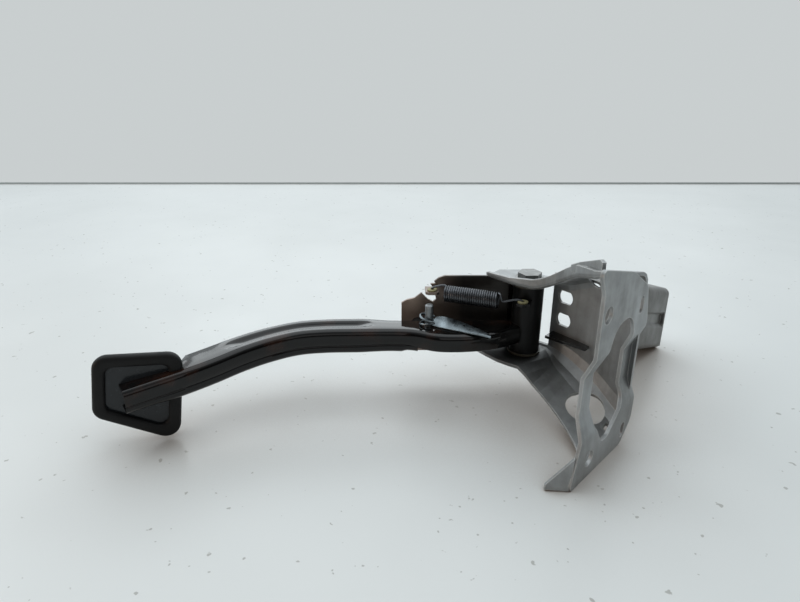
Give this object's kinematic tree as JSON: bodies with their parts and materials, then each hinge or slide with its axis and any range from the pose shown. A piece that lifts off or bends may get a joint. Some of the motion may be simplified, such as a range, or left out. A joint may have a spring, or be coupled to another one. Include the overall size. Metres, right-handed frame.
{
  "type": "brake pedal assembly",
  "caption": "Hanging brake pedal on a pressed steel mounting bracket, with a bent tubular arm, a rubber covered foot pad, a return spring and an upper stay.",
  "frame": {"origin": "midway between the two round stud holes, on the face that meets the firewall", "axes": "+X out of the mounting face towards the engine bay, +Y along the line of stud holes to the stay and up in the vehicle, +Z along the pedal's pivot"},
  "size_m": [0.2578, 0.4033, 0.1392],
  "materials": {
    "galvanised_sheet": "zinc coated pressed sheet, faintly mottled",
    "gloss_black_paint": "gloss black dip paint",
    "zinc_fastener": "yellow zinc plated",
    "spring_steel": "dark oiled wire",
    "bumper_rubber": "moulded rubber",
    "pad_rubber_black": "moulded rubber, satin",
    "olive_nylon": "moulded nylon",
    "white_nylon": "moulded nylon"
  },
  "bodies": {
    "bracket": {"pedal_bracket": "galvanised_sheet", "stay_channel": "galvanised_sheet", "stop_bracket": "galvanised_sheet", "wall_stiffener": "gloss_black_paint", "pivot_bolt": "zinc_fastener", "pivot_washer": "zinc_fastener", "pivot_nut": "zinc_fastener", "pivot_sleeve": "zinc_fastener", "stop_bumper": "bumper_rubber", "spring_anchor_bush": "white_nylon", "return_spring": "spring_steel"},
    "pedal": {"arm_upper_shell": "gloss_black_paint", "arm_lower_shell": "gloss_black_paint", "hub_tube": "gloss_black_paint", "hub_bush_upper": "olive_nylon", "hub_bush_lower": "olive_nylon", "spring_horn": "gloss_black_paint", "spring_horn_bush": "white_nylon", "clevis_pin": "zinc_fastener", "pin_clip": "spring_steel", "pad_plate": "gloss_black_paint", "pad_rubber": "pad_rubber_black"}
  },
  "joints": [
    {"name": "pedal_hinge", "type": "hinge", "parent": "bracket", "child": "pedal", "pos_m": [-0.086, 0.0594, 0], "axis": [0, 0, 1], "range_deg": [0, 24], "stiffness_Nm_per_rad": 0.6, "springref_deg": -57.3, "deforming": ["return_spring"]}
  ]
}
